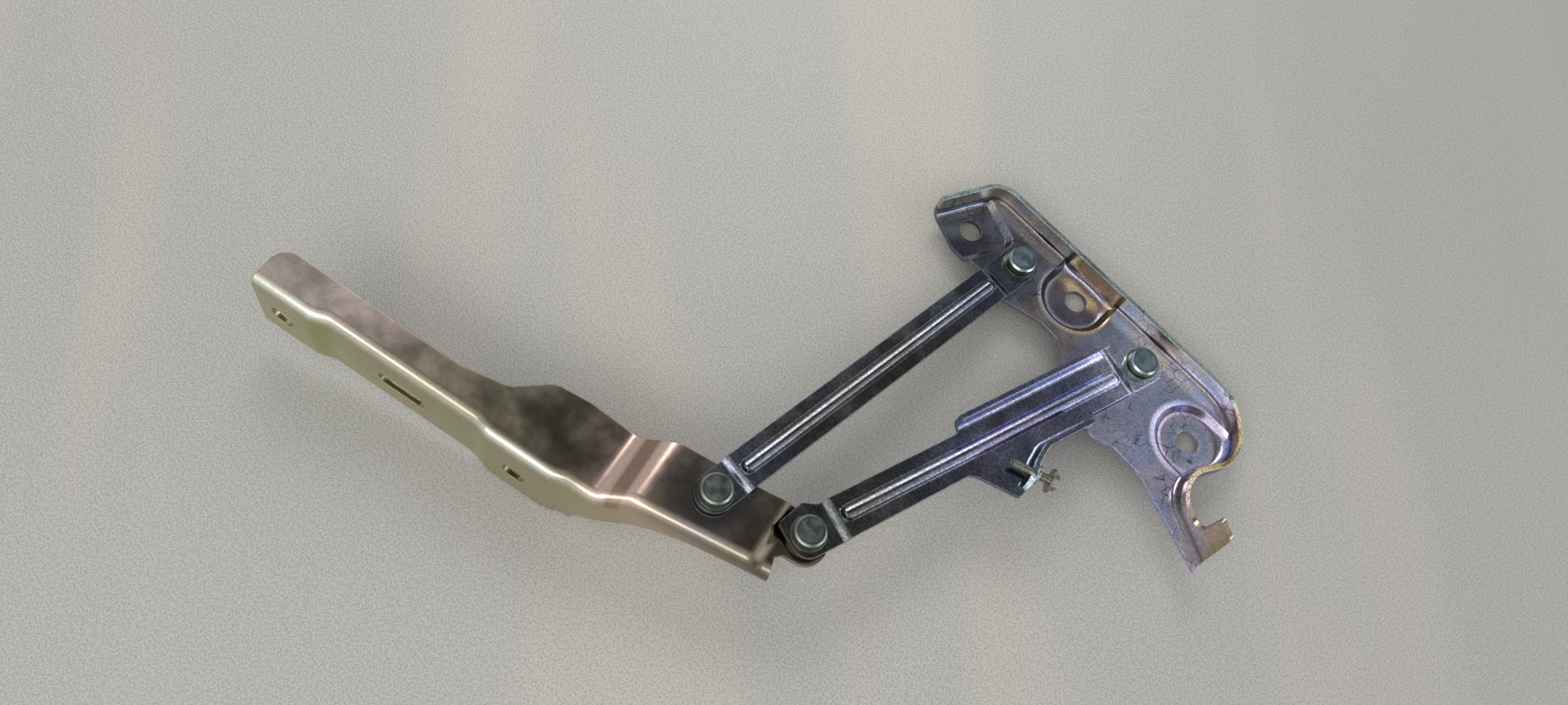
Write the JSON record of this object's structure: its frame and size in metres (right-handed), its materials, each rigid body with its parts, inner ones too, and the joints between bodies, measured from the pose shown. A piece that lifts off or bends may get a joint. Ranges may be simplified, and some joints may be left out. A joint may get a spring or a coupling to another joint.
{
  "type": "car bonnet hinge",
  "caption": "Pressed-steel four-bar hinge that carries a car bonnet: a body bracket, two links, a stop screw and a flanged bonnet arm.",
  "frame": {"origin": "centre of the middle mounting hole of the body bracket, on the back face of its pad", "axes": "+X along the bracket's straight wall towards the stop tab, +Y from the bonnet arm to that wall, +Z along the pivots towards their heads"},
  "size_m": [0.3934, 0.3141, 0.0815],
  "materials": {
    "bracket_zinc": "zinc-plated pressed sheet with a coloured passivation",
    "upper_link_zinc": "zinc-plated pressed sheet with a coloured passivation",
    "lower_link_zinc": "zinc-plated pressed sheet with a coloured passivation",
    "arm_zinc": "zinc-plated pressed sheet with a coloured passivation",
    "rivet_steel": "plated steel with a turned rim",
    "bush_green": "greenish passivated steel",
    "washer_steel": "plated steel",
    "screw_steel": "plated steel"
  },
  "bodies": {
    "body": {"body_bracket": "bracket_zinc", "pivot_rivet_b": "rivet_steel", "pivot_rivet_d": "rivet_steel"},
    "lower_link_body": {"lower_link": "lower_link_zinc", "bush_c": "bush_green", "bush_d": "bush_green", "washer_c": "washer_steel", "washer_d": "washer_steel", "stop_screw": "screw_steel"},
    "upper_link_body": {"upper_link": "upper_link_zinc", "bush_a": "bush_green", "bush_b": "bush_green", "washer_a": "washer_steel", "washer_b": "washer_steel", "pivot_pin_a": "rivet_steel"},
    "arm_body": {"bonnet_arm": "arm_zinc", "rivet_tail_a": "rivet_steel", "pivot_rivet_c": "rivet_steel"}
  },
  "joints": [
    {"name": "pivot_d", "type": "hinge", "parent": "body", "child": "lower_link_body", "pos_m": [0.0452, -0.00635, 0], "axis": [0, 0, 1], "range_deg": [0, 44]},
    {"name": "pivot_b", "type": "hinge", "parent": "body", "child": "upper_link_body", "pos_m": [-0.0331, -0.012, 0], "axis": [0, 0, 1], "range_deg": [0, 43.5]},
    {"name": "pivot_c", "type": "hinge", "parent": "lower_link_body", "child": "arm_body", "pos_m": [-0.0071, -0.1954, 0], "axis": [0, 0, 1], "range_deg": [-80.5, 0]}
  ],
  "couplings": [
    {"joint": "pivot_b", "follows": "pivot_d", "ratio": 0.975},
    {"joint": "pivot_c", "follows": "pivot_d", "ratio": -1.81}
  ]
}
